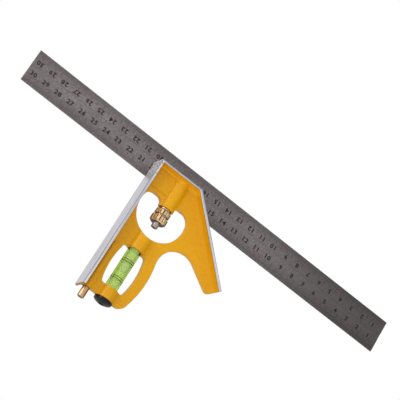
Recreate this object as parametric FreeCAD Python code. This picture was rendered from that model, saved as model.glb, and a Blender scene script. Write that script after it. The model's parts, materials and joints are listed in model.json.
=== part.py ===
"""Combination square: 300 mm rule, cast head with spirit level, clamp bolt and scriber.

Frame, in millimetres: the origin is the working corner, where the fence face (x = 0) meets the
floor of the rule's slot (z = 0), halfway through the head's thickness (y = 0).  The rule runs
along +X, the head hangs below it towards -Z, and the front of the head faces -Y.
"""
import FreeCAD
import Part
import math
import os

V = FreeCAD.Vector

# ---- driving dimensions -------------------------------------------------------------------
RULE_LENGTH = 304.8
RULE_WIDTH = 24.0
RULE_THICKNESS = 1.2
RULE_LEFT = -103.3              # where the rule's 30 cm end stands, left of the fence
RULE_FRONT = 6.0                # y of the rule's front face
RULE_FLOOR = 0.02               # oil film between the slot's floor and the rule's lower edge
GROOVE_WIDTH = 3.0              # clamp groove along the middle of the rule's front face
GROOVE_DEPTH = 0.25
FIT = 0.05                      # running clearance on each side

HEAD_HALF = 9.0                 # half the width of the machined rails
HEAD_TOP = 11.2                 # top of the head above the slot floor
FENCE_END = -87.2               # lower end of the fence rail
MITRE_SUM = 44.9                # the 45 degree face is the plane x + z = MITRE_SUM
LEG_END = 83.7                  # how far down its own slope the mitre leg runs
LEG_WIDTH = 8.2                 # width of the leg at its tip
LEG_TIP_ROUND = 3.6
LEG_CORNER_ROUND = 0.8
ARCH_X = 50.3                   # round arch between the leg and the level's arm
ARCH_Z = -44.2
ARCH_RADIUS = 14.7
ARM_WAIST = (37.4, -61.0)       # points of the arm's bowed outer edge, as x and z
ARM_LOW = (34.4, -80.6)
ARM_CORNER = (32.4, -84.6)
ARM_FOOT_X = 28.6
FENCE_RAIL = 2.0                # wall thicknesses of the three rails
TOP_RAIL = 1.3
MITRE_RAIL = 1.9
REAR_CHAMFER = 2.4              # relief along the fence's rear edge

WEB_FRONT = -2.0                # the thin web between the rails
WEB_REAR = 1.5
WEB_BOTTOM = -86.3
POCKET_DRAFT = 0.5
POCKET_FOOT = 3.0               # fillet round the pockets' floors
BOSS_BLEND = 1.6                # fillet between the round bosses and the web
PANEL_FRONT = -2.7              # raised panel between the fence rail and the bolt boss
PANEL_TOP = 7.6
PANEL_BOTTOM = -5.1             # also where the solid block behind the web ends

HOLE_X = 22.0                   # the big finger hole, which also opens round the clamp nut
HOLE_Z = -17.4
HOLE_RADIUS = 18.4
HOLE_ROOF_LEFT = -8.4           # its flat roof, left and right of the bolt boss
HOLE_ROOF_RIGHT = -7.6
HOLE_ROUNDS = (5.5, 8.0, 4.2, 3.0)   # its corners: outer left, outer right, inner left, inner right
HOLE_FLARE = 0.38               # slope by which it widens through the front of the level's boss

BOLT_X = 22.0                   # clamp bolt, nut and spring
BOLT_BOSS_RADIUS = 5.4
BOLT_BOSS_END = -12.7
BOLT_HEAD_RADIUS = 3.5
BOLT_HEAD_BOTTOM = 2.0
BOLT_HEAD_TOP = 11.0
BOLT_STEM_RADIUS = 2.4
BOLT_STEM_END = -27.2
THREAD_PITCH = 0.8
THREAD_DEPTH = 0.4
THREAD_TOP = -13.0
SPRING_SEAT = -6.0
SPRING_WIRE = 0.7
SPRING_TURNS = 4
TONGUE_WIDTH = 2.2
TONGUE_HEIGHT = 1.6
HOOK_HEIGHT = 2.0               # arm that carries the tongue across to the rule
NUT_RADIUS = 5.9
NUT_TOP = -12.8
NUT_BOTTOM = -23.6
NUT_UPPER_RADIUS = 5.45         # the band next to the boss is a little smaller
NUT_CORE_RADIUS = 4.4
NUT_NECK = 1.1
NUT_GAP = 1.1                   # groove between the two bands, a little above their middle
NUT_GAP_RISE = 0.4
NUT_TEETH = 14
NUT_KNURL_DEPTH = 0.6

VIAL_X = 19.7                   # spirit level
VIAL_RADIUS = 4.55
VIAL_TOP = -38.8
VIAL_BOTTOM = -82.0
VIAL_WALL = 1.0
VIAL_BOSS_RADIUS = 6.2
UPPER_BOSS_END = -47.7
LOWER_BOSS_START = -78.0
WINDOW_TOP = -48.2
WINDOW_BOTTOM = -77.6
WINDOW_HALF = 10.4
WINDOW_END_HALF = 8.3
WINDOW_ROUND = 2.2
PLUG_RADIUS = 6.4
PLUG_RIM = 1.7                  # straight edge of the plug below the casting
PLUG_RISE = 3.6                 # rim and shallow dome together
PLUG_EDGE = 0.65                # round between the rim and the dome
DIMPLE_BALL = 2.5               # radius of the ball that sinks the dimple, half of that deep
CUSHION = 1.4                   # soft pad above the tube's blind end
STOPPER_LENGTH = 3.0
BARREL_TAPER = 0.35             # how much narrower the level's chamber is at its ends

SCRIBER_X = 5.8                 # scriber stored beside the fence
SCRIBER_BOSS_RADIUS = 3.4
SCRIBER_BOSS_TOP = -51.6
SCRIBER_KNOB_RADIUS = 2.35
SCRIBER_KNOB_END = -94.0
SCRIBER_SHANK_RADIUS = 1.5
SCRIBER_BUSH_TOP = -79.0
SCRIBER_BUSH_RADIUS = 2.3
NEEDLE_BORE = 1.3               # radius of the bore that shelters the needle
NEEDLE_RADIUS = 0.95
NEEDLE_TIP = -54.0

ROOT2 = math.sqrt(2.0)


# ---- helpers ------------------------------------------------------------------------------
def box(x0, x1, y0, y1, z0, z1):
    return Part.makeBox(x1 - x0, y1 - y0, z1 - z0, V(x0, y0, z0))


def rod(x, radius, z0, z1, y=0.0):
    return Part.makeCylinder(radius, z1 - z0, V(x, y, z0), V(0, 0, 1))


def cone(x, r0, r1, z0, z1):
    return Part.makeCone(r0, r1, z1 - z0, V(x, 0, z0), V(0, 0, 1))


def polygon(points, y):
    loop = [V(x, y, z) for x, z in points]
    return Part.makePolygon(loop + loop[:1])


def prism(wire, y0, y1):
    face = Part.Face(wire)
    face.translate(V(0, y0 - face.BoundBox.YMin, 0))
    return face.extrude(V(0, y1 - y0, 0))


def prism_along_z(points, z0, z1):
    loop = [V(x, y, z0) for x, y in points]
    return Part.Face(Part.makePolygon(loop + loop[:1])).extrude(V(0, 0, z1 - z0))


def arc(a, b, c):
    return Part.Arc(V(a[0], 0, a[1]), V(b[0], 0, b[1]), V(c[0], 0, c[1])).toShape()


def line(a, b):
    return Part.makeLine(V(a[0], 0, a[1]), V(b[0], 0, b[1]))


def revolve(x, profile):
    """Turn an (r, z) outline about the vertical axis through (x, 0)."""
    loop = [V(r, 0, z) for r, z in profile]
    face = Part.Face(Part.makePolygon(loop + loop[:1]))
    solid = face.revolve(V(0, 0, 0), V(0, 0, 1), 360)
    solid.translate(V(x, 0, 0))
    return solid


def span(edge):
    return edge.BoundBox


def depth_edges(shape, test):
    """Edges that run straight through the thickness (along Y) at places that pass the test."""
    found = []
    for edge in shape.Edges:
        a, b = edge.Vertexes[0].Point, edge.Vertexes[-1].Point
        if abs(a.x - b.x) < 1e-6 and abs(a.z - b.z) < 1e-6 and abs(a.y - b.y) > 1 and test(a.x, a.z):
            found.append(edge)
    return found


def mitre_point(across, along):
    """Point at a distance inside the 45 degree face and a distance down its slope."""
    total = MITRE_SUM - across * ROOT2
    return (total + along * ROOT2) / 2, (total - along * ROOT2) / 2


# ---- head casting -------------------------------------------------------------------------
def head_outline():
    """Outline of the casting in the XZ plane, clockwise from the top of the fence."""
    tip_outer = mitre_point(0, LEG_END)
    tip_inner = mitre_point(LEG_WIDTH, LEG_END)
    arm_foot = (ARM_FOOT_X, WEB_BOTTOM)

    def on_arch(degrees):
        turn = math.radians(degrees)
        return ARCH_X + ARCH_RADIUS * math.cos(turn), ARCH_Z + ARCH_RADIUS * math.sin(turn)

    edges = [
        line((0, HEAD_TOP), (MITRE_SUM - HEAD_TOP, HEAD_TOP)),
        line((MITRE_SUM - HEAD_TOP, HEAD_TOP), tip_outer),
        line(tip_outer, tip_inner),
        line(tip_inner, on_arch(56)),
        arc(on_arch(56), on_arch(120), on_arch(190)),
        arc(on_arch(190), ARM_WAIST, ARM_LOW),
        arc(ARM_LOW, ARM_CORNER, arm_foot),
        line(arm_foot, (0, WEB_BOTTOM)),
        line((0, WEB_BOTTOM), (0, HEAD_TOP)),
    ]
    return Part.Wire(edges)


def rounded_body():
    """The outline made solid, with the two corners at the tip of the leg rounded."""
    body = prism(head_outline(), -HEAD_HALF, HEAD_HALF)
    for across, radius in ((LEG_WIDTH, LEG_TIP_ROUND), (0, LEG_CORNER_ROUND)):
        tip_x, tip_z = mitre_point(across, LEG_END)
        body = body.makeFillet(radius, depth_edges(
            body, lambda x, z: abs(x - tip_x) < 0.01 and abs(z - tip_z) < 0.01))
    return body


def pocket(roof, floor_y, rim_y):
    """Drafted pocket between the fence rail, a roof and the mitre rail, filleted round its floor."""
    far = 120.0                 # well beyond the casting, where the pocket runs out

    def outline(inset):
        side = FENCE_RAIL + inset
        top = roof - inset
        edge = MITRE_SUM - (MITRE_RAIL + inset) * ROOT2
        return [(side, top), (edge - top, top), (far, edge - far), (far, -far), (side, -far)]

    over = math.copysign(0.01, rim_y)
    wires = [polygon(outline(0.0), rim_y + over), polygon(outline(POCKET_DRAFT), floor_y)]
    tool = Part.makeLoft(wires, True, True)
    foot = [e for e in tool.Edges
            if span(e).YLength < 1e-3 and abs(span(e).YMin - floor_y) < 1e-3
            and span(e).ZMax > -far + 1 and span(e).XMin < far - 1]
    return tool.makeFillet(POCKET_FOOT, foot)


def raised_panel():
    """Panel between the fence rail and the bolt boss, with sloped edges; rooted in the web."""
    root = 1.0
    ledge = WEB_FRONT + root - PANEL_FRONT
    profile = [V(FENCE_RAIL / 2, WEB_FRONT + root, PANEL_BOTTOM - ledge),
               V(FENCE_RAIL / 2, PANEL_FRONT, PANEL_BOTTOM),
               V(FENCE_RAIL / 2, PANEL_FRONT, PANEL_TOP),
               V(FENCE_RAIL / 2, WEB_FRONT + root, PANEL_TOP + ledge / 4)]
    face = Part.Face(Part.makePolygon(profile + profile[:1]))
    return face.extrude(V(BOLT_X - FENCE_RAIL / 2, 0, 0))


def boss(x, radius, z0, z1):
    """Round boss across the web, with a concave blend where it meets the web's two faces."""
    sink = 0.05                 # the blends dip this far into the web, so that they end cleanly
    corners = []
    for web_y, front in ((WEB_FRONT + sink, -1), (WEB_REAR - sink, 1)):
        centre_y = web_y + front * BOSS_BLEND
        reach = math.sqrt((radius + BOSS_BLEND) ** 2 - centre_y ** 2)
        share = radius / (radius + BOSS_BLEND)
        touch = V(reach * share, centre_y * share, 0)
        foot = V(reach, web_y, 0)
        centre = V(reach, centre_y, 0)
        bow = centre + ((touch + foot) * 0.5 - centre).normalize() * BOSS_BLEND
        corners.append((touch, bow, foot, V(0, front * radius, 0)))

    def mirrored(point):
        return V(-point.x, point.y, 0)

    (touch_f, bow_f, foot_f, peak_f), (touch_r, bow_r, foot_r, peak_r) = corners
    loop = [Part.Arc(mirrored(touch_f), peak_f, touch_f), Part.Arc(touch_f, bow_f, foot_f),
            Part.LineSegment(foot_f, foot_r), Part.Arc(foot_r, bow_r, touch_r),
            Part.Arc(touch_r, peak_r, mirrored(touch_r)),
            Part.Arc(mirrored(touch_r), mirrored(bow_r), mirrored(foot_r)),
            Part.LineSegment(mirrored(foot_r), mirrored(foot_f)),
            Part.Arc(mirrored(foot_f), mirrored(bow_f), mirrored(touch_f))]
    face = Part.Face(Part.Wire([curve.toShape() for curve in loop]))
    face.translate(V(x, 0, z0))
    return face.extrude(V(0, 0, z1 - z0))


def finger_hole():
    """Round hole with a flat roof each side of a stub of web that backs the bolt boss."""
    deep = 2 * HEAD_HALF + 2
    hole = Part.makeCylinder(HOLE_RADIUS, deep, V(HOLE_X, -HEAD_HALF - 1, HOLE_Z), V(0, 1, 0))
    top = HOLE_Z + HOLE_RADIUS + 1
    edge = BOLT_BOSS_RADIUS
    roofs = [box(HOLE_X - HOLE_RADIUS, BOLT_X, -20, 20, HOLE_ROOF_LEFT, top),
             box(BOLT_X, HOLE_X + HOLE_RADIUS, -20, 20, HOLE_ROOF_RIGHT, top),
             box(BOLT_X - edge, BOLT_X + edge, -20, 20, BOLT_BOSS_END, top)]
    hole = hole.cut(Part.makeCompound(roofs))
    split = 8.0                 # inner corners are nearer to the bolt than this, outer ones farther
    corners = ((HOLE_ROOF_LEFT, -1, split, HOLE_RADIUS), (HOLE_ROOF_RIGHT, 1, split, HOLE_RADIUS),
               (HOLE_ROOF_LEFT, -1, 0, split), (HOLE_ROOF_RIGHT, 1, 0, split))
    for (roof, side, near, away), radius in zip(corners, HOLE_ROUNDS):
        hole = hole.makeFillet(radius, depth_edges(
            hole, lambda x, z: abs(z - roof) < 0.01 and near < side * (x - BOLT_X) < away))
    return hole


def hole_flare():
    """Cone that slopes the upper end of the level's boss back to the rim of the finger hole."""
    start = HOLE_RADIUS - 0.1   # a little inside the hole, so that the two surfaces cross cleanly
    depth = HEAD_HALF + WEB_FRONT
    return Part.makeCone(start, start + HOLE_FLARE * depth, depth, V(HOLE_X, WEB_FRONT, HOLE_Z),
                         V(0, -1, 0))


def level_window():
    """Bowed oval opening that shows the vial."""
    middle = (WINDOW_TOP + WINDOW_BOTTOM) / 2
    left_top = (VIAL_X - WINDOW_END_HALF, WINDOW_TOP)
    left_low = (VIAL_X - WINDOW_END_HALF, WINDOW_BOTTOM)
    right_top = (VIAL_X + WINDOW_END_HALF, WINDOW_TOP)
    right_low = (VIAL_X + WINDOW_END_HALF, WINDOW_BOTTOM)
    wire = Part.Wire([
        line(left_top, right_top),
        arc(right_top, (VIAL_X + WINDOW_HALF, middle), right_low),
        line(right_low, left_low),
        arc(left_low, (VIAL_X - WINDOW_HALF, middle), left_top),
    ])
    hole = prism(wire, -HEAD_HALF - 1, HEAD_HALF + 1)
    return hole.makeFillet(WINDOW_ROUND, depth_edges(hole, lambda x, z: True))


def head_bores():
    """Everything drilled or milled after casting."""
    front = RULE_FRONT - FIT
    rear = RULE_FRONT + RULE_THICKNESS + FIT
    tools = [
        box(-1, MITRE_SUM + 1, front, rear, 0, HEAD_TOP + 1),
        rod(BOLT_X, BOLT_HEAD_RADIUS + FIT, SPRING_SEAT, HEAD_TOP + 1),
        rod(BOLT_X, BOLT_STEM_RADIUS + FIT, BOLT_BOSS_END - 1, SPRING_SEAT + 1),
        box(BOLT_X - TONGUE_WIDTH / 2 - FIT, BOLT_X + TONGUE_WIDTH / 2 + FIT, 0, front + 0.1,
            BOLT_HEAD_TOP - HOOK_HEIGHT - 1, HEAD_TOP + 1),
        rod(VIAL_X, VIAL_RADIUS + FIT, WEB_BOTTOM - 1, VIAL_TOP + CUSHION),
        rod(SCRIBER_X, SCRIBER_BUSH_RADIUS, WEB_BOTTOM - 1, SCRIBER_BUSH_TOP),
        rod(SCRIBER_X, NEEDLE_BORE, SCRIBER_BUSH_TOP - 1, NEEDLE_TIP + 1.5),
    ]
    return Part.makeCompound(tools)


def head_casting():
    """Drafted casting: rails round a thin web, bosses for the clamp, the level and the scriber."""
    body = rounded_body()
    body = body.cut(pocket(HEAD_TOP - TOP_RAIL, WEB_FRONT, -HEAD_HALF))
    body = body.cut(pocket(PANEL_BOTTOM, WEB_REAR, HEAD_HALF))
    body = body.fuse(raised_panel())
    rail = box(0, FENCE_RAIL, -HEAD_HALF, HEAD_HALF, FENCE_END, WEB_BOTTOM + 1)
    scriber_boss = boss(SCRIBER_X, SCRIBER_BOSS_RADIUS, WEB_BOTTOM, SCRIBER_BOSS_TOP)
    body = body.fuse([rail, scriber_boss])
    body = body.cut(level_window())
    lower_boss = boss(VIAL_X, VIAL_BOSS_RADIUS, WEB_BOTTOM, LOWER_BOSS_START)
    upper_boss = boss(VIAL_X, VIAL_BOSS_RADIUS, UPPER_BOSS_END, HOLE_Z - HOLE_RADIUS / 2)
    upper_boss = upper_boss.cut(hole_flare())
    bolt_boss = boss(BOLT_X, BOLT_BOSS_RADIUS, BOLT_BOSS_END, HEAD_TOP - TOP_RAIL)
    body = body.fuse([lower_boss, upper_boss, bolt_boss])
    body = body.cut(finger_hole())
    relief = prism_along_z([(-1, HEAD_HALF + 1), (-1, HEAD_HALF - REAR_CHAMFER - 1),
                            (REAR_CHAMFER + 1, HEAD_HALF + 1)], FENCE_END - 1, HEAD_TOP + 1)
    body = body.cut(relief)
    body = body.cut(head_bores())
    return body.removeSplitter()


# ---- rule ---------------------------------------------------------------------------------
def rule_blade():
    """Flat rule with the clamp groove milled along the middle of its front face."""
    blank = box(RULE_LEFT, RULE_LEFT + RULE_LENGTH, RULE_FRONT, RULE_FRONT + RULE_THICKNESS,
                RULE_FLOOR, RULE_FLOOR + RULE_WIDTH)
    middle = RULE_FLOOR + RULE_WIDTH / 2
    groove = box(RULE_LEFT - 1, RULE_LEFT + RULE_LENGTH + 1, RULE_FRONT - 1, RULE_FRONT + GROOVE_DEPTH,
                 middle - GROOVE_WIDTH / 2, middle + GROOVE_WIDTH / 2)
    return blank.cut(groove)


# ---- clamp --------------------------------------------------------------------------------
def bolt_stem():
    """Stem with its thread drawn as plain rings one pitch apart."""
    crest = BOLT_STEM_RADIUS
    root = crest - THREAD_DEPTH
    rings = round((THREAD_TOP - BOLT_STEM_END) / THREAD_PITCH)
    outline = [(0, BOLT_STEM_END), (root, BOLT_STEM_END)]
    for ring in range(rings):
        z = BOLT_STEM_END + ring * THREAD_PITCH
        outline.append((crest, z + 0.4 * THREAD_PITCH))
        outline.append((crest, z + 0.6 * THREAD_PITCH))
        outline.append((root, z + THREAD_PITCH))
    outline.append((crest, z + THREAD_PITCH + THREAD_DEPTH))
    outline += [(crest, BOLT_HEAD_BOTTOM), (0, BOLT_HEAD_BOTTOM)]
    return revolve(BOLT_X, outline)


def clamp_bolt():
    """Round bolt with a hooked top whose tongue sits in the rule's groove."""
    tongue_bottom = RULE_FLOOR + RULE_WIDTH / 2 - GROOVE_WIDTH / 2 + 2 * FIT
    half = TONGUE_WIDTH / 2
    bolt = rod(BOLT_X, BOLT_HEAD_RADIUS, BOLT_HEAD_BOTTOM, BOLT_HEAD_TOP).fuse(bolt_stem())
    hook = box(BOLT_X - half, BOLT_X + half, 0, RULE_FRONT - 2 * FIT, BOLT_HEAD_TOP - HOOK_HEIGHT,
               tongue_bottom + TONGUE_HEIGHT)
    tongue = box(BOLT_X - half, BOLT_X + half, RULE_FRONT - 1, RULE_FRONT + GROOVE_DEPTH - FIT,
                 tongue_bottom, tongue_bottom + TONGUE_HEIGHT)
    return bolt.fuse([hook, tongue]).removeSplitter()


def clamp_spring():
    """Compression spring between the seat in the bore and the bolt's head."""
    wire = SPRING_WIRE / 2
    sides = 8                   # the wire's section is an octagon
    end_gap = 0.02
    mean = (BOLT_STEM_RADIUS + BOLT_HEAD_RADIUS) / 2 - FIT
    height = BOLT_HEAD_BOTTOM - SPRING_SEAT - SPRING_WIRE - 2 * end_gap
    path = Part.Wire(Part.makeHelix(height / SPRING_TURNS, height, mean))
    start = path.Edges[0].valueAt(path.Edges[0].FirstParameter)
    tangent = path.Edges[0].tangentAt(path.Edges[0].FirstParameter)
    across = tangent.cross(V(0, 0, 1)).normalize()
    upward = across.cross(tangent).normalize()
    corners = []
    for i in range(sides):
        turn = 2 * math.pi * i / sides
        corners.append(start + across * (wire * math.cos(turn)) + upward * (wire * math.sin(turn)))
    coil = path.makePipeShell([Part.makePolygon(corners + corners[:1])], True, True)
    coil.translate(V(BOLT_X, 0, SPRING_SEAT + wire + end_gap))
    return coil


def knurled_band(radius, z0, z1, low_edge, high_edge):
    """Ring of flat facets parted by narrow V grooves, chamfered at both rims."""
    step = 2 * math.pi / NUT_TEETH
    points = []
    for i in range(NUT_TEETH):
        for share, r in ((0.0, radius - NUT_KNURL_DEPTH), (0.18, radius), (0.82, radius)):
            turn = (i + share) * step
            points.append(V(BOLT_X + r * math.cos(turn), r * math.sin(turn), z0))
    band = Part.Face(Part.makePolygon(points + points[:1])).extrude(V(0, 0, z1 - z0))
    envelope = revolve(BOLT_X, [(0, z0), (radius - low_edge, z0), (radius, z0 + low_edge),
                                (radius, z1 - high_edge), (radius - high_edge, z1), (0, z1)])
    return band.common(envelope)


def clamp_nut():
    """Brass thumb nut: neck, a small and a large knurled band and the groove between them."""
    neck_end = NUT_TOP - NUT_NECK
    middle = (neck_end + NUT_BOTTOM) / 2 + NUT_GAP_RISE
    core = rod(BOLT_X, NUT_CORE_RADIUS, NUT_BOTTOM, NUT_TOP)
    upper = knurled_band(NUT_UPPER_RADIUS, middle + NUT_GAP / 2, neck_end, 0.5, 0.8)
    lower = knurled_band(NUT_RADIUS, NUT_BOTTOM, middle - NUT_GAP / 2, 1.2, 0.5)
    bore = rod(BOLT_X, BOLT_STEM_RADIUS + FIT, NUT_BOTTOM - 1, NUT_TOP + 1)
    return core.fuse([upper, lower]).cut(bore).removeSplitter()


# ---- spirit level -------------------------------------------------------------------------
def vial_chamber(end_low):
    """Barrel-shaped hollow that keeps the bubble in the middle."""
    belly = VIAL_RADIUS - VIAL_WALL
    end = belly - BARREL_TAPER
    top = VIAL_TOP - 2 * VIAL_WALL
    middle = (top + end_low) / 2
    loop = [line((0, end_low), (end, end_low)),
            arc((end, end_low), (belly, middle), (end, top)),
            line((end, top), (0, top)),
            line((0, top), (0, end_low))]
    solid = Part.Face(Part.Wire(loop)).revolve(V(0, 0, 0), V(0, 0, 1), 360)
    solid.translate(V(VIAL_X, 0, 0))
    return solid


STOPPER_TOP = VIAL_BOTTOM + STOPPER_LENGTH
STOPPER_RADIUS = VIAL_RADIUS - VIAL_WALL - BARREL_TAPER


def vial_tube():
    """Clear tube, closed above and sealed below by the stopper."""
    tube = rod(VIAL_X, VIAL_RADIUS, VIAL_BOTTOM, VIAL_TOP)
    tube = tube.cut(vial_chamber(STOPPER_TOP))
    return tube.cut(rod(VIAL_X, STOPPER_RADIUS, VIAL_BOTTOM - 1, STOPPER_TOP + 0.01))


def vial_fluid():
    return vial_chamber(STOPPER_TOP)


def vial_stopper():
    return rod(VIAL_X, STOPPER_RADIUS, VIAL_BOTTOM, STOPPER_TOP)


def vial_cushion():
    """Soft pad that takes up the slack at the vial's blind end."""
    return rod(VIAL_X, VIAL_RADIUS - 2 * FIT, VIAL_TOP, VIAL_TOP + CUSHION)


def vial_plug():
    """Black plug that closes the vial's bore: a rim with a shallow dome and a dimple."""
    spigot = rod(VIAL_X, VIAL_RADIUS, WEB_BOTTOM, VIAL_BOTTOM)
    rim = rod(VIAL_X, PLUG_RADIUS, WEB_BOTTOM - PLUG_RIM, WEB_BOTTOM)
    rise = PLUG_RISE - PLUG_RIM
    ball = (PLUG_RADIUS ** 2 + rise ** 2) / (2 * rise)
    dome = Part.makeSphere(ball, V(VIAL_X, 0, WEB_BOTTOM - PLUG_RISE + ball))
    dome = dome.common(rod(VIAL_X, PLUG_RADIUS, WEB_BOTTOM - PLUG_RISE, WEB_BOTTOM - PLUG_RIM))
    dimple = Part.makeSphere(DIMPLE_BALL, V(VIAL_X, 0, WEB_BOTTOM - PLUG_RISE - DIMPLE_BALL / 2))
    plug = spigot.fuse([rim, dome]).cut(dimple).removeSplitter()
    edge = [e for e in plug.Edges if abs(span(e).ZMin - WEB_BOTTOM + PLUG_RIM) < 1e-3
            and span(e).ZLength < 1e-3 and span(e).XLength > 2 * PLUG_RADIUS - 0.1]
    return plug.makeFillet(PLUG_EDGE, edge)


# ---- scriber ------------------------------------------------------------------------------
def scriber_knob():
    """Brass end cap, bored for the needle, with a shank that slides into the bush."""
    start = WEB_BOTTOM - 0.2    # it stops just short of the casting
    edge = 0.5
    knob = rod(SCRIBER_X, SCRIBER_KNOB_RADIUS, SCRIBER_KNOB_END + edge, start)
    knob = knob.fuse(cone(SCRIBER_X, SCRIBER_KNOB_RADIUS - edge, SCRIBER_KNOB_RADIUS,
                          SCRIBER_KNOB_END, SCRIBER_KNOB_END + edge))
    knob = knob.fuse(rod(SCRIBER_X, SCRIBER_SHANK_RADIUS, start, SCRIBER_BUSH_TOP - 0.3))
    knob = knob.cut(rod(SCRIBER_X, NEEDLE_RADIUS, start + 1, SCRIBER_BUSH_TOP + 2))
    return knob.removeSplitter()


def scriber_needle():
    """Hardened steel needle with a long ground point."""
    taper = 6.0
    needle = rod(SCRIBER_X, NEEDLE_RADIUS, WEB_BOTTOM + 0.8, NEEDLE_TIP - taper)
    return needle.fuse(cone(SCRIBER_X, NEEDLE_RADIUS, 0.08, NEEDLE_TIP - taper, NEEDLE_TIP))


def scriber_bush():
    """Friction bush pressed into the mouth of the scriber's bore."""
    bush = rod(SCRIBER_X, SCRIBER_BUSH_RADIUS, WEB_BOTTOM, SCRIBER_BUSH_TOP)
    return bush.cut(rod(SCRIBER_X, SCRIBER_SHANK_RADIUS + FIT, WEB_BOTTOM - 1, SCRIBER_BUSH_TOP + 1))


PARTS = {
    "head_casting": head_casting,
    "rule_blade": rule_blade,
    "clamp_bolt": clamp_bolt,
    "clamp_spring": clamp_spring,
    "clamp_nut": clamp_nut,
    "vial_tube": vial_tube,
    "vial_fluid": vial_fluid,
    "vial_stopper": vial_stopper,
    "vial_cushion": vial_cushion,
    "vial_plug": vial_plug,
    "scriber_knob": scriber_knob,
    "scriber_needle": scriber_needle,
    "scriber_bush": scriber_bush,
}

os.makedirs("parts", exist_ok=True)
for name, make in PARTS.items():
    shape = make()
    shape.exportStep("parts/%s.step" % name)
    print(name, "solids", len(shape.Solids), "valid", shape.isValid(), "volume %.1f" % shape.Volume)
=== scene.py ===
"""Looks of the combination square, built round its CAD frame (metres, +X along the rule, +Z up)."""
import json
import math

import bmesh
import bpy
from mathutils import Matrix, Vector

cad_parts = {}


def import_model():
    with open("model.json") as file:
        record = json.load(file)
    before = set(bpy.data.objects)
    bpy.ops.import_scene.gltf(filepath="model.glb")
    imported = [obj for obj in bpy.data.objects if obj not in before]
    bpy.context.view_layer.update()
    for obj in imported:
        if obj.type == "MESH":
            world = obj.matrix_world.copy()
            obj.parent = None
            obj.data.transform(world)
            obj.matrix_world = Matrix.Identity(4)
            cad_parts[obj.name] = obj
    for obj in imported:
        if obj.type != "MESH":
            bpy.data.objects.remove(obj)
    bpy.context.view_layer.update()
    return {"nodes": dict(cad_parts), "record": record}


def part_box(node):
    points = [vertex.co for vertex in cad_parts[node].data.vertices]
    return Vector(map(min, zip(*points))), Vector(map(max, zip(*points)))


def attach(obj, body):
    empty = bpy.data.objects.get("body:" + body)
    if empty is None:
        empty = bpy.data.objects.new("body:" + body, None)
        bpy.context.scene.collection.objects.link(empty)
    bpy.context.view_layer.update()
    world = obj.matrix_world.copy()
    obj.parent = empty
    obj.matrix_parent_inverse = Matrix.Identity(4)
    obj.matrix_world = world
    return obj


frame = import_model()

MM = 0.001


def mount_point(name):
    return next(Vector(m["pos_m"]) for m in frame["record"]["mounts"] if m["name"] == name)


# ---- places read from the frame -----------------------------------------------------------------
HEAD_LOW, HEAD_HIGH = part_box("head_casting")
RULE_LOW, RULE_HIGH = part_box("rule_blade")
TUBE_LOW, TUBE_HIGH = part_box("vial_tube")
FLUID_LOW, FLUID_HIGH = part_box("vial_fluid")
MITRE_POINT = mount_point("mitre_face")
MITRE_SUM = MITRE_POINT.x + MITRE_POINT.z               # x + z is the same all over the mitre face
RULE_LENGTH = RULE_HIGH.x - RULE_LOW.x
RULE_WIDTH = RULE_HIGH.z - RULE_LOW.z
GROOVE_HALF = RULE_WIDTH / 16           # the clamp groove takes an eighth of the rule's width
SIGHT_Z = FLUID_LOW.z + 0.4 * (FLUID_HIGH.z - FLUID_LOW.z)      # halfway between the level's lines


# ---- node helpers -------------------------------------------------------------------------------
def srgb(red, green, blue):
    """Display colour, 0 to 255 a channel, as the linear colour a shader takes."""
    def linear(level):
        share = level / 255
        return share / 12.92 if share <= 0.04045 else ((share + 0.055) / 1.055) ** 2.4
    return linear(red), linear(green), linear(blue), 1.0


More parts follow.
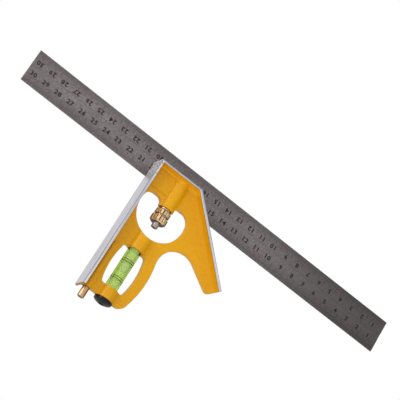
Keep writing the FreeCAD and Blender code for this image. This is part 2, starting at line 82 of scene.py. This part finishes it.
class Shader:
    """One node material, with short names for the nodes it uses most."""

    def __init__(self, name):
        self.material = bpy.data.materials.new(name)
        self.material.use_nodes = True
        self.tree = self.material.node_tree
        self.tree.nodes.clear()
        self.place = self.node("TexCoord").outputs["Object"]
        self.axes = self.node("SeparateXYZ", {"Vector": self.place}).outputs

    def node(self, kind, inputs=None, **settings):
        made = self.tree.nodes.new("ShaderNode" + kind)
        for key, value in settings.items():
            setattr(made, key, value)
        for key, value in (inputs or {}).items():
            if isinstance(value, bpy.types.NodeSocket):
                self.tree.links.new(value, made.inputs[key])
            else:
                made.inputs[key].default_value = value
        return made

    def math(self, operation, *values):
        made = self.node("Math", dict(enumerate(values)), operation=operation)
        return made.outputs[0]

    def rise(self, value, start, end):
        """0 up to start, 1 from end on, and smooth in between; start may be the larger."""
        low, high = min(start, end), max(start, end)
        out = (0.0, 1.0) if start <= end else (1.0, 0.0)
        made = self.node("MapRange", {"Value": value, "From Min": low, "From Max": high,
                                      "To Min": out[0], "To Max": out[1]},
                         interpolation_type="SMOOTHSTEP")
        return made.outputs["Result"]

    def both(self, a, b):
        return self.math("MINIMUM", a, b)

    def either(self, a, b):
        return self.math("MAXIMUM", a, b)

    def noise(self, scale, detail=3.0, roughness=0.55, stretch=(1, 1, 1), shift=0.0):
        """Noise with features about 1/scale metres across; stretch makes them longer along an axis."""
        spread = tuple(1.0 / s for s in stretch)
        moved = self.node("Mapping", {"Vector": self.place, "Scale": spread,
                                      "Location": (shift, shift, shift)})
        made = self.node("TexNoise", {"Vector": moved.outputs[0], "Scale": scale,
                                      "Detail": detail, "Roughness": roughness})
        return made.outputs["Fac"]

    def mix(self, factor, a, b, blend="MIX"):
        made = self.node("Mix", {0: factor, 6: a, 7: b}, data_type="RGBA", blend_type=blend)
        return made.outputs[2]

    def tinted(self, base, mask, share, colour):
        """The base, with a share of the colour over it where the mask is 1."""
        return self.mix(self.math("MULTIPLY", mask, share), base, colour)

    def level(self, factor, a, b):
        made = self.node("Mix", {0: factor, 2: a, 3: b}, data_type="FLOAT")
        return made.outputs[0]

    def bump(self, height, distance, strength=1.0, normal=None):
        inputs = {"Height": height, "Distance": distance, "Strength": strength}
        if normal is not None:
            inputs["Normal"] = normal
        return self.node("Bump", inputs).outputs[0]

    def soft_edges(self, radius):
        return self.node("Bevel", {"Radius": radius}, samples=4).outputs[0]

    def hollows(self, distance):
        """1 in the open, falling towards 0 in tight corners; used to paint shade there."""
        return self.node("AmbientOcclusion", {"Distance": distance}, samples=8).outputs["AO"]

    def facing_away(self, start, end):
        """0 where the surface faces the viewer, 1 where it turns away at the outline."""
        return self.rise(self.node("LayerWeight", {"Blend": 0.5}).outputs["Facing"], start, end)

    def finish(self, surface):
        output = self.node("OutputMaterial")
        self.tree.links.new(surface, output.inputs["Surface"])
        return self.material

    def principled(self, **inputs):
        names = {key.replace("_", " ").title().replace("Ior", "IOR"): value
                 for key, value in inputs.items()}
        return self.node("BsdfPrincipled", names).outputs[0]


# ---- materials ----------------------------------------------------------------------------------
def head_material():
    """Golden yellow enamel over a casting, with the guiding edges machined bare."""
    s = Shader("head_paint")
    x, y, z = s.axes
    skin = 0.03 * MM            # this close to a machined plane still counts as on it
    slot_half = (RULE_HIGH.y - RULE_LOW.y) / 2 + 0.1 * MM
    line_stretch = 45           # cutter lines are this much longer than wide

    # how far in a point lies: from the middle plane, the mitre (along x), the top, the nearest
    # of the three guiding faces, and the head's front or rear
    depth = s.math("ABSOLUTE", y)
    mitre = s.math("SUBTRACT", MITRE_SUM, s.math("ADD", x, z))
    from_top = s.math("SUBTRACT", HEAD_HIGH.z, z)
    on_face = s.math("MINIMUM", s.math("MINIMUM", x, mitre), from_top)
    on_edge = s.math("SUBTRACT", HEAD_HIGH.y, depth)
    slot_y = s.math("ABSOLUTE", s.math("SUBTRACT", y, (RULE_LOW.y + RULE_HIGH.y) / 2))
    in_slot = s.both(s.rise(slot_y, slot_half + 0.02 * MM, slot_half - 0.02 * MM),
                     s.rise(z, -0.1 * MM, -0.02 * MM))
    bare = s.either(s.rise(on_face, skin * 1.1, skin * 0.9), s.rise(on_edge, skin * 1.1, skin * 0.9))
    bare = s.either(bare, in_slot)

    # paint: slow tone changes, painted shade in the corners, beside the rails and towards the lower left, a
    # painted highlight under the top, a painted shadow line by the bare edges, a faint cast texture under
    # the gloss
    tone = s.noise(60, 2)
    grain = s.noise(900, 3)
    paint = s.mix(tone, srgb(226, 160, 2), srgb(240, 176, 8))
    paint = s.mix(s.rise(grain, 0.35, 0.75), paint, srgb(222, 158, 4))
    # painted shade: the paint darkens towards the lower left
    lower_left_shade = s.rise(s.math("ADD", x, z), 20 * MM, -70 * MM)
    paint = s.tinted(paint, lower_left_shade, 0.3, srgb(196, 138, 6))
    # painted shade: the paint darkens in corners and recesses
    occlusion_shade = s.hollows(4 * MM)
    paint = s.tinted(paint, s.rise(occlusion_shade, 0.9, 0.3), 0.6, srgb(196, 132, 2))
    # painted shadow: the fence rail's shadow on the paint beside it
    fence_rail_shadow = s.rise(x, 5.2 * MM, 2.2 * MM)
    paint = s.tinted(paint, fence_rail_shadow, 0.65, srgb(150, 98, 16))
    # painted shade beside the mitre rail
    mitre_rail_shade = s.rise(mitre, 8 * MM, 4 * MM)
    paint = s.tinted(paint, mitre_rail_shade, 0.3, srgb(204, 140, 2))
    # painted highlight on the fillet under the top rail
    top_fillet_highlight = s.both(s.rise(from_top, 5 * MM, 2 * MM), s.rise(depth, 1.9 * MM, 2.5 * MM))
    paint = s.tinted(paint, top_fillet_highlight, 0.7, srgb(255, 190, 20))
    # painted shadow line on the paint next to the bare front and rear faces
    edge_shadow_line = s.rise(on_edge, 1.2 * MM, 0.3 * MM)
    paint = s.tinted(paint, edge_shadow_line, 0.8, srgb(132, 88, 24))
    paint_bump = s.bump(s.noise(420, 4), 0.12 * MM, 0.35, s.soft_edges(0.35 * MM))
    coat = s.principled(base_color=paint, roughness=s.level(grain, 0.28, 0.40), normal=paint_bump,
                        specular_ior_level=0.2, coat_weight=0.12, coat_roughness=0.12)

    # machined metal: cutter lines that run along each face, wear specks and a painted highlight at the
    # fence's top, painted shade along the arris
    along = s.math("MULTIPLY", s.math("SUBTRACT", x, z), 1 / line_stretch)
    across = s.node("CombineXYZ", {"X": y, "Y": on_face, "Z": along}).outputs[0]
    lines = s.node("TexNoise", {"Vector": across, "Scale": 1100.0, "Detail": 3.0}).outputs["Fac"]
    smear = s.noise(160, 3, 0.6, (2, 1, 4), 0.3)
    specks = s.noise(1100, 2, 0.5, shift=0.7)
    metal = s.mix(s.rise(lines, 0.36, 0.64), srgb(190, 194, 206), srgb(238, 232, 234))
    metal = s.tinted(metal, smear, 0.35, srgb(206, 208, 204))
    # wear and a painted highlight: the fence face is lighter and less metallic towards its top, with dark
    # and bright specks
    wear_and_highlight = s.both(s.rise(z, -4 * MM, 3 * MM), s.rise(x, 3 * MM, 1 * MM))
    bruises_and_glints = s.mix(s.rise(specks, 0.45, 0.55), srgb(108, 110, 120), srgb(255, 253, 248))
    metal = s.tinted(metal, wear_and_highlight, 0.8, bruises_and_glints)
    metal = s.mix(s.rise(specks, 0.64, 0.72), metal, srgb(150, 148, 150))
    # painted shade along the machined edges
    arris_shade = s.both(s.rise(on_face, 0.8 * MM, 0.2 * MM), s.rise(on_edge, 1.0 * MM, 0.2 * MM))
    metal = s.tinted(metal, arris_shade, 0.75, srgb(132, 130, 146))
    metal_bump = s.bump(lines, 0.02 * MM, 0.5, s.soft_edges(0.25 * MM))
    steel = s.principled(base_color=metal, metallic=s.level(wear_and_highlight, 0.8, 0.35),
                         roughness=s.level(lines, 0.32, 0.48), normal=metal_bump)
    surface = s.node("MixShader", {0: bare, 1: coat, 2: steel}).outputs[0]
    return s.finish(surface)


def rule_material():
    """Satin grey-brown steel: rolled grain and mottling, lighter down the middle, darker to zero."""
    s = Shader("rule_steel")
    x, z = s.axes[0], s.axes[2]
    grain = s.noise(2400, 3, 0.6, (14, 1, 1))
    speckle = s.noise(1150, 2, 0.6, (1.4, 1, 1), 0.2)
    mottle = s.noise(260, 4, 0.6, (1.6, 1, 1))
    cloud = s.noise(28, 2, 0.5, (2, 1, 1), 0.4)
    base = s.mix(mottle, srgb(104, 98, 99), srgb(146, 139, 140))
    base = s.tinted(base, grain, 0.5, srgb(162, 154, 155))
    base = s.mix(s.rise(cloud, 0.35, 0.7), base, srgb(122, 114, 114))
    base = s.tinted(base, s.rise(speckle, 0.45, 0.7), 0.5, srgb(92, 84, 85))
    base = s.tinted(base, s.rise(speckle, 0.52, 0.3), 0.5, srgb(166, 158, 158))
    centre = s.math("ABSOLUTE", s.math("SUBTRACT", z, (RULE_LOW.z + RULE_HIGH.z) / 2))
    edges = s.rise(centre, 0.17 * RULE_WIDTH, 0.3 * RULE_WIDTH)
    base = s.tinted(base, edges, 0.25, srgb(84, 78, 78))
    toward_zero = s.rise(x, RULE_LOW.x + 0.45 * RULE_LENGTH, RULE_HIGH.x)
    base = s.tinted(base, toward_zero, 0.75, srgb(66, 63, 63))
    blush = s.rise(s.noise(75, 3, 0.6, shift=0.9), 0.54, 0.68)
    base = s.tinted(base, blush, 0.4, srgb(112, 86, 92))
    # painted highlight along the edges of the clamp groove
    groove_edge_highlight = s.rise(s.math("ABSOLUTE", s.math("SUBTRACT", centre, GROOVE_HALF)),
                         0.06 * MM, 0.02 * MM)
    base = s.tinted(base, groove_edge_highlight, 0.3, srgb(206, 200, 200))
    normal = s.bump(grain, 0.015 * MM, 0.6)
    normal = s.bump(mottle, 0.03 * MM, 0.25, normal)
    return s.finish(s.principled(base_color=base, metallic=0.75, normal=normal,
                                 roughness=s.level(mottle, 0.42, 0.56)))


def brass_material(name, light, dark, roughness):
    """Turned brass, with painted shade in its grooves and where it turns away."""
    s = Shader(name)
    rings = s.noise(3000, 2, 0.6, (8, 8, 1))
    stain = s.noise(700, 3)
    occlusion_shade = s.hollows(0.8 * MM)
    base = s.mix(stain, light, s.mix(0.35, light, dark))
    # painted shade: darker in the grooves and where the surface turns away at the outline
    base = s.mix(s.rise(occlusion_shade, 0.9, 0.35), base, dark)
    base = s.mix(s.facing_away(0.3, 0.6), base, dark)
    normal = s.bump(rings, 0.015 * MM, 0.5, s.soft_edges(0.12 * MM))
    return s.finish(s.principled(base_color=base, metallic=0.95, normal=normal,
                                 roughness=s.level(stain, roughness, roughness + 0.12)))


def steel_material(name, light, dark, roughness, ring_stretch):
    """Bare steel with tool marks, with painted shade in its corners and where it turns away."""
    s = Shader(name)
    rings = s.noise(3200, 2, 0.6, ring_stretch)
    stain = s.noise(900, 3)
    base = s.mix(stain, light, s.mix(0.4, light, dark))
    # painted shade: darker in the corners and where the surface turns away at the outline
    base = s.mix(s.rise(s.hollows(0.6 * MM), 0.6, 0.1), base, dark)
    base = s.mix(s.facing_away(0.3, 0.6), base, dark)
    normal = s.bump(rings, 0.012 * MM, 0.5, s.soft_edges(0.1 * MM))
    return s.finish(s.principled(base_color=base, metallic=0.95, normal=normal,
                                 roughness=s.level(stain, roughness, roughness + 0.1)))


def tube_material():
    """Clear acrylic: nearly colourless face on, so that the fluid shows, and lime at its outline."""
    s = Shader("vial_acrylic")
    haze = s.noise(500, 3)
    scratches = s.noise(1800, 2, 0.5, (1, 1, 10))
    normal = s.bump(scratches, 0.006 * MM, 0.4)
    tint = s.mix(haze, srgb(240, 248, 222), srgb(248, 252, 238))
    tint = s.mix(s.facing_away(0.2, 0.6), tint, srgb(192, 212, 126))
    clear = s.node("BsdfTransparent", {"Color": tint}).outputs[0]
    gloss = s.node("BsdfGlossy", {"Color": srgb(250, 252, 245), "Roughness": 0.08,
                                  "Normal": normal}).outputs[0]
    mirror = s.node("Fresnel", {"IOR": 1.3}).outputs[0]
    inside = s.node("NewGeometry").outputs["Backfacing"]
    outside = s.math("SUBTRACT", 1.0, inside)
    share = s.math("MULTIPLY", s.math("MULTIPLY", mirror, outside), 0.15)
    return s.finish(s.node("MixShader", {0: share, 1: clear, 2: gloss}).outputs[0])


def fluid_material():
    """Green spirit: pale down the middle, with painted shade making it lime at its sides and a little
    deeper at the top, where it also has a painted glow.
    """
    s = Shader("level_fluid")
    x, z = s.axes[0], s.axes[2]
    swirl = s.noise(180, 2, 0.5, (1, 1, 3))
    middle_x = (FLUID_LOW.x + FLUID_HIGH.x) / 2
    side = s.math("ABSOLUTE", s.math("SUBTRACT", x, middle_x))
    reach = FLUID_HIGH.x - middle_x
    side_shade = s.rise(side, 0.45 * reach, reach)
    upper = s.rise(z, FLUID_HIGH.z - 11 * MM, FLUID_HIGH.z - 6 * MM)
    colour = s.mix(swirl, srgb(222, 236, 172), srgb(230, 240, 188))
    # painted shade: lime towards the sides of the column
    colour = s.tinted(colour, side_shade, 0.6, srgb(200, 224, 112))
    # painted shade: a little deeper at the top
    colour = s.tinted(colour, upper, 0.3, srgb(140, 165, 60))
    # painted light: the top glows, standing in for light carried along the vial
    glow = s.level(upper, 0.12, 0.35)
    body = s.principled(base_color=colour, roughness=0.3, specular_ior_level=0.3,
                        subsurface_weight=0.35, subsurface_radius=(1.0, 1.0, 0.5),
                        subsurface_scale=2.0 * MM, emission_color=colour, emission_strength=glow)
    through = s.node("BsdfTransparent", {"Color": colour}).outputs[0]
    share = s.level(upper, 0.48, 0.4)
    return s.finish(s.node("MixShader", {0: share, 1: body, 2: through}).outputs[0])


def bubble_material():
    """Air bubble: pale, with painted shade making it a little greener towards its top."""
    s = Shader("level_bubble_air")
    z = s.axes[2]
    cloud = s.noise(600, 2)
    colour = s.mix(cloud, srgb(192, 206, 150), srgb(206, 218, 172))
    # painted shade: greener towards the top
    shade = s.rise(z, TUBE_LOW.z + 18 * MM, TUBE_LOW.z + 26 * MM)
    colour = s.tinted(colour, shade, 0.3, srgb(180, 210, 100))
    return s.finish(s.principled(base_color=colour, roughness=0.12, coat_weight=0.5,
                                 coat_roughness=0.05))


def plastic_material(name, light, dark, roughness):
    """Moulded plastic with a fine orange-peel skin, and painted shade in its hollows."""
    s = Shader(name)
    peel = s.noise(1400, 3)
    cloud = s.noise(300, 2)
    base = s.mix(cloud, light, dark)
    # painted shade: darker, with almost no specular, in hollows such as the plug's dimple and beside the
    # casting
    occlusion_shade = s.rise(s.hollows(2.0 * MM), 0.95, 0.75)
    base = s.mix(occlusion_shade, base, dark)
    normal = s.bump(peel, 0.02 * MM, 0.3, s.soft_edges(0.2 * MM))
    return s.finish(s.principled(base_color=base, normal=normal,
                                 specular_ior_level=s.level(occlusion_shade, 0.25, 0.02),
                                 roughness=s.level(peel, roughness, roughness + 0.12)))


def ink_material(name, light, dark):
    """Ink that fills an etched line unevenly."""
    s = Shader(name)
    patch = s.noise(1500, 3)
    base = s.mix(patch, light, dark)
    normal = s.bump(patch, 0.01 * MM, 0.4)
    return s.finish(s.principled(base_color=base, normal=normal, roughness=s.level(patch, 0.5, 0.75),
                                 specular_ior_level=0.25))


def floor_material():
    s = Shader("floor_pale")
    cloud = s.noise(3, 3)
    base = s.mix(cloud, srgb(236, 236, 236), srgb(242, 242, 241))
    return s.finish(s.principled(base_color=base, roughness=0.7, specular_ior_level=0.2))


def dress(name, material):
    """Gives a CAD node its looks in place of its plain material."""
    node = frame["nodes"][name]
    node.data.materials.clear()
    node.data.materials.append(material)


# ---- pieces drawn on the parts ------------------------------------------------------------------
INK_HALF = 0.02 * MM            # ink stands this far proud, inside the slot's running clearance
FIGURE_HEIGHT = 3.3 * MM
FIGURE_STRETCH = 1.1            # figures are this much wider than the font draws them
FIGURE_ADVANCE = 2.75 * MM      # from one figure of a number to the next
ROW_OFFSET = 4.15 * MM          # from the rule's middle to each row of figures
MARK_INSET = 0.15 * MM          # bare steel between the graduations and the rule's edges


def mesh_piece(name, verts, faces, material, body, slot):
    mesh = bpy.data.meshes.new(name)
    mesh.from_pydata(verts, [], faces)
    made = bmesh.new()
    made.from_mesh(mesh)
    bmesh.ops.remove_doubles(made, verts=made.verts, dist=1e-7)
    bmesh.ops.recalc_face_normals(made, faces=made.faces)
    made.to_mesh(mesh)
    made.free()
    mesh.materials.append(material)
    piece = bpy.data.objects.new(name, mesh)
    bpy.context.scene.collection.objects.link(piece)
    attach(piece, body)
    return piece


def digit_shapes():
    """Each digit as a thin solid, one unit high and one unit thick, centred on the origin."""
    shapes = {}
    for digit in "0123456789":
        curve = bpy.data.curves.new("digit", "FONT")
        curve.body = digit
        curve.extrude = 0.5
        curve.resolution_u = 3
        curve.offset = 0.03     # a slightly bold face
        made = bpy.data.objects.new("digit", curve)
        mesh = made.to_mesh()
        top = max(v.co.y for v in mesh.vertices)
        low = min(v.co.y for v in mesh.vertices)
        left = min(v.co.x for v in mesh.vertices)
        wide = max(v.co.x for v in mesh.vertices) - left
        unit = 1.0 / (top - low)
        verts = [((v.co.x - left - wide / 2) * unit, (v.co.y - low) * unit - 0.5, v.co.z)
                 for v in mesh.vertices]
        shapes[digit] = (verts, [tuple(p.vertices) for p in mesh.polygons])
        made.to_mesh_clear()
        bpy.data.objects.remove(made)
        bpy.data.curves.remove(curve)
    return shapes


def number_row(marks, shapes, lone_shift, row_z, face_y, front, turned):
    """Numbers centred on their marks; a lone digit stands a little to one side of its mark."""
    verts, faces = [], []
    side = 1 if front else -1
    way = (-1 if turned else 1) * side
    up = -1 if turned else 1
    for value, mark_x in marks:
        text = str(value)
        middle = mark_x if len(text) > 1 else mark_x + lone_shift
        for i, digit in enumerate(text):
            offset = (i - (len(text) - 1) / 2) * FIGURE_ADVANCE
            base = len(verts)
            points, polygons = shapes[digit]
            for px, py, pz in points:
                verts.append((middle + way * (offset + px * FIGURE_HEIGHT * FIGURE_STRETCH),
                              face_y + pz * 2 * INK_HALF,
                              row_z + up * py * FIGURE_HEIGHT))
            faces += [tuple(base + k for k in polygon) for polygon in polygons]
    return verts, faces


def bar(verts, faces, x, half_width, z0, z1, face_y):
    base = len(verts)
    for px in (x - half_width, x + half_width):
        for py in (face_y - INK_HALF, face_y + INK_HALF):
            for pz in (z0, z1):
                verts.append((px, py, pz))
    for corners in ((0, 1, 3, 2), (4, 6, 7, 5), (0, 4, 5, 1), (2, 3, 7, 6), (0, 2, 6, 4), (1, 5, 7, 3)):
        faces.append(tuple(base + c for c in corners))


def graduations(zero_x, step, lengths, half_width, face_y):
    """Marks along both edges; lengths pairs how often a mark comes with how long it is."""
    verts, faces = [], []
    for i in range(round(RULE_LENGTH / step) + 1):
        x = zero_x - i * step
        if not RULE_LOW.x + half_width < x < RULE_HIGH.x - half_width:
            continue
        long = next(length for every, length in lengths if i % every == 0)
        bar(verts, faces, x, half_width, RULE_LOW.z + MARK_INSET, RULE_LOW.z + long, face_y)
        bar(verts, faces, x, half_width, RULE_HIGH.z - long, RULE_HIGH.z - MARK_INSET, face_y)
    return verts, faces


def rule_markings(ink):
    """Centimetre scales on the front of the rule and inch scales on its back."""
    shapes = digit_shapes()
    middle = (RULE_LOW.z + RULE_HIGH.z) / 2
    low, high = middle - ROW_OFFSET, middle + ROW_OFFSET
    front, back = RULE_LOW.y, RULE_HIGH.y
    zero = RULE_HIGH.x
    inch = 25.4 * MM
    centimetres = [(n, zero - 10 * MM * n) for n in range(1, 31)]
    inches = [(n, RULE_LOW.x + inch * n) for n in range(1, 12)]
    rows = {
        "rule_figures_low": (centimetres, shapes, 1.9 * MM, low, front, True, False),
        "rule_figures_high": (centimetres, shapes, 1.5 * MM, high, front, True, True),
        "rule_back_figures_low": (inches, shapes, -1.6 * MM, low, back, False, False),
        "rule_back_figures_high": (inches, shapes, -1.6 * MM, high, back, False, True),
    }
    for name, row in rows.items():
        mesh_piece(name, *number_row(*row), ink, "rule", "etch_ink")
    metric = ((10, 5.5 * MM), (5, 6.4 * MM), (1, 3.2 * MM))
    imperial = ((16, 6.0 * MM), (8, 5.0 * MM), (4, 4.2 * MM), (2, 3.3 * MM), (1, 2.4 * MM))
    marks = graduations(zero, 1 * MM, metric, 0.09 * MM, front)
    mesh_piece("rule_marks_metric", *marks, ink, "rule", "etch_ink")
    marks = graduations(zero, inch / 16, imperial, 0.1 * MM, back)
    mesh_piece("rule_marks_inch", *marks, ink, "rule", "etch_ink")


def ring_line(name, z, width, ink):
    """Line printed round the vial."""
    sides = 48
    middle = (TUBE_LOW + TUBE_HIGH) / 2
    radius = (TUBE_HIGH.x - TUBE_LOW.x) / 2
    inner, outer = radius - INK_HALF, radius + INK_HALF
    profile = [(inner, z), (outer, z), (outer, z + width), (inner, z + width)]
    verts, faces = [], []
    for i in range(sides):
        turn = 2 * math.pi * i / sides
        for r, pz in profile:
            verts.append((middle.x + r * math.cos(turn), middle.y + r * math.sin(turn), pz))
    for i in range(sides):
        for k in range(4):
            a, b = 4 * i + k, 4 * i + (k + 1) % 4
            c, d = 4 * ((i + 1) % sides) + (k + 1) % 4, 4 * ((i + 1) % sides) + k
            faces.append((a, b, c, d))
    return mesh_piece(name, verts, faces, ink, "head", "etch_ink")


def level_lines(ink):
    """A pair of lines above the resting bubble and a pair below it."""
    reach = 6.7 * MM            # from the middle to each pair
    gap = 1.5 * MM              # between the two lines of a pair
    heights = [SIGHT_Z + side * reach + line * gap / 2 for side in (1, -1) for line in (1, -1)]
    for number, height in enumerate(heights, 1):
        ring_line("level_line_%d" % number, height, 0.4 * MM, ink)


def level_bubble(material):
    """Long air bubble against the front of the vial's chamber."""
    half_long = 4.5 * MM
    half_wide = 2.5 * MM
    half_deep = 1.1 * MM
    proud = 0.35 * MM           # how far its front stands out of the fluid, into the tube's wall
    risen = 2.7 * MM            # how far its middle is above the middle of the lines
    bluntness = 0.8             # below 1, the ends are fuller than an ellipsoid's
    rings, sides = 20, 32
    middle_x = (FLUID_LOW.x + FLUID_HIGH.x) / 2
    centre = Vector((middle_x, FLUID_LOW.y + half_deep - proud, SIGHT_Z + risen))
    verts, faces = [], []
    for ring in range(rings + 1):
        tilt = math.pi * ring / rings
        wide, high = math.sin(tilt), math.cos(tilt)
        blunt_high = math.copysign(abs(high) ** bluntness, high)
        for side in range(sides):
            turn = 2 * math.pi * side / sides
            verts.append(centre + Vector((wide * math.cos(turn) * half_wide,
                                          wide * math.sin(turn) * half_deep,
                                          blunt_high * half_long)))
    for ring in range(rings):
        for side in range(sides):
            here = ring * sides + side
            beside = ring * sides + (side + 1) % sides
            faces.append((here, beside, beside + sides, here + sides))
    bubble = mesh_piece("level_bubble", verts, faces, material, "head", "level_fluid")
    for polygon in bubble.data.polygons:
        polygon.use_smooth = True


# ---- stage --------------------------------------------------------------------------------------
CAMERA_AZIMUTH = math.radians(16.03)    # the camera looks this far towards +X from straight on
CAMERA_RISE = math.radians(20.54)       # and this far upwards
CAMERA_ROLL = math.radians(32.32)       # and is turned anticlockwise, so the rule runs downhill
CAMERA_DISTANCE = 1.044
CAMERA_LENS = 141.45
AIM_LEFT = 8.9 * MM                     # the camera aims this far left of the rule's middle
AIM_DOWN = 1.8 * MM                     # and this far below it
FLOOR_DROP = 0.36                       # from the head's lowest point to the floor
FLOOR_HALF = 6.0


def camera_axes():
    ahead = Vector((math.sin(CAMERA_AZIMUTH) * math.cos(CAMERA_RISE),
                    math.cos(CAMERA_AZIMUTH) * math.cos(CAMERA_RISE),
                    math.sin(CAMERA_RISE)))
    level = ahead.cross(Vector((0, 0, 1))).normalized()
    upright = level.cross(ahead)
    right = level * math.cos(CAMERA_ROLL) + upright * math.sin(CAMERA_ROLL)
    return right, right.cross(ahead), ahead


def camera():
    right, up, ahead = camera_axes()
    rule_middle = (RULE_LOW + RULE_HIGH) / 2
    aim = Vector((rule_middle.x - AIM_LEFT, RULE_LOW.y, rule_middle.z - AIM_DOWN))
    data = bpy.data.cameras.new("camera")
    data.lens = CAMERA_LENS
    data.sensor_width = 36
    data.clip_end = 20
    made = bpy.data.objects.new("camera", data)
    turn = Matrix((right, up, -ahead)).transposed().to_4x4()
    made.matrix_world = Matrix.Translation(aim - ahead * CAMERA_DISTANCE) @ turn
    bpy.context.scene.collection.objects.link(made)
    bpy.context.scene.camera = made


def area_light(name, direction, distance, size, power):
    data = bpy.data.lights.new(name, "AREA")
    data.energy = power
    data.size = size
    made = bpy.data.objects.new(name, data)
    way = Vector(direction).normalized()
    made.location = (HEAD_LOW + HEAD_HIGH) / 2 + way * distance
    made.rotation_mode = "QUATERNION"
    made.rotation_quaternion = (-way).to_track_quat("-Z", "Y")
    bpy.context.scene.collection.objects.link(made)


def world():
    """White to the camera; for lighting, a soft grey room that is brighter to the upper left."""
    made = bpy.data.worlds.new("studio")
    made.use_nodes = True
    tree = made.node_tree
    tree.nodes.clear()
    path = tree.nodes.new("ShaderNodeLightPath")
    place = tree.nodes.new("ShaderNodeTexCoord")
    right, up, ahead = camera_axes()
    bright_way = (-right * 0.7 + up * 0.5 - ahead * 0.5).normalized()
    dot = tree.nodes.new("ShaderNodeVectorMath")
    dot.operation = "DOT_PRODUCT"
    dot.inputs[1].default_value = bright_way
    spread = tree.nodes.new("ShaderNodeMapRange")
    spread.inputs["From Min"].default_value = -1.0
    spread.inputs["To Min"].default_value = 0.50
    spread.inputs["To Max"].default_value = 1.30
    room = tree.nodes.new("ShaderNodeBackground")
    white = tree.nodes.new("ShaderNodeBackground")
    white.inputs["Color"].default_value = (1, 1, 1, 1)
    white.inputs["Strength"].default_value = 1.0
    choose = tree.nodes.new("ShaderNodeMixShader")
    output = tree.nodes.new("ShaderNodeOutputWorld")
    tree.links.new(place.outputs["Generated"], dot.inputs[0])
    tree.links.new(dot.outputs["Value"], spread.inputs["Value"])
    tree.links.new(spread.outputs["Result"], room.inputs["Strength"])
    tree.links.new(path.outputs["Is Camera Ray"], choose.inputs[0])
    tree.links.new(room.outputs[0], choose.inputs[1])
    tree.links.new(white.outputs[0], choose.inputs[2])
    tree.links.new(choose.outputs[0], output.inputs["Surface"])
    bpy.context.scene.world = made


def floor():
    """Pale floor, below the camera so that it never hides the square."""
    half = FLOOR_HALF
    z = HEAD_LOW.z - FLOOR_DROP
    mesh = bpy.data.meshes.new("floor")
    mesh.from_pydata([(-half, -half, z), (half, -half, z), (half, half, z), (-half, half, z)],
                     [], [(0, 1, 2, 3)])
    mesh.materials.append(floor_material())
    made = bpy.data.objects.new("floor", mesh)
    bpy.context.scene.collection.objects.link(made)


# ---- build --------------------------------------------------------------------------------------
TURNED = (6, 6, 1)              # how far tool marks stretch along x, y and z
DRAWN = (1, 1, 6)
GROUND = (1, 1, 8)

dress("head_casting", head_material())
dress("rule_blade", rule_material())
dress("clamp_nut", brass_material("nut_brass", srgb(252, 220, 170), srgb(58, 28, 8), 0.24))
dress("scriber_knob", brass_material("scriber_brass", srgb(228, 186, 140), srgb(90, 56, 28), 0.36))
dress("scriber_bush", brass_material("bush_brass", srgb(226, 180, 116), srgb(96, 58, 20), 0.3))
dress("clamp_bolt", steel_material("bolt_steel", srgb(255, 246, 242), srgb(44, 34, 32), 0.3, TURNED))
dress("clamp_spring", steel_material("spring_steel", srgb(190, 190, 192), srgb(80, 78, 76), 0.3, DRAWN))
dress("scriber_needle", steel_material("needle_steel", srgb(214, 216, 220), srgb(90, 90, 92), 0.15, GROUND))
dress("vial_tube", tube_material())
dress("vial_fluid", fluid_material())
dress("vial_stopper", plastic_material("stopper_acrylic", srgb(205, 222, 150), srgb(190, 210, 130), 0.2))
dress("vial_cushion", plastic_material("cushion_rubber", srgb(44, 44, 44), srgb(34, 34, 35), 0.6))
dress("vial_plug", plastic_material("plug_plastic", srgb(28, 25, 32), srgb(2, 2, 2), 0.18))

dark_ink = ink_material("etch_ink", srgb(20, 17, 16), srgb(34, 30, 29))
rule_markings(dark_ink)
line_ink = ink_material("level_line_ink", srgb(50, 74, 20), srgb(66, 92, 30))
level_lines(line_ink)
level_bubble(bubble_material())

camera()
world()
right, up, ahead = camera_axes()
area_light("key", -right * 0.5 + up * 0.75 - ahead * 0.6, distance=1.3, size=0.7, power=5.2)
area_light("fill", right * 0.5 - up * 0.2 - ahead * 0.8, distance=1.6, size=1.2, power=3.0)
area_light("top", Vector((0.2, -0.3, 1.0)), distance=1.5, size=1.2, power=5.0)
floor()
bpy.context.scene.view_settings.view_transform = "Standard"
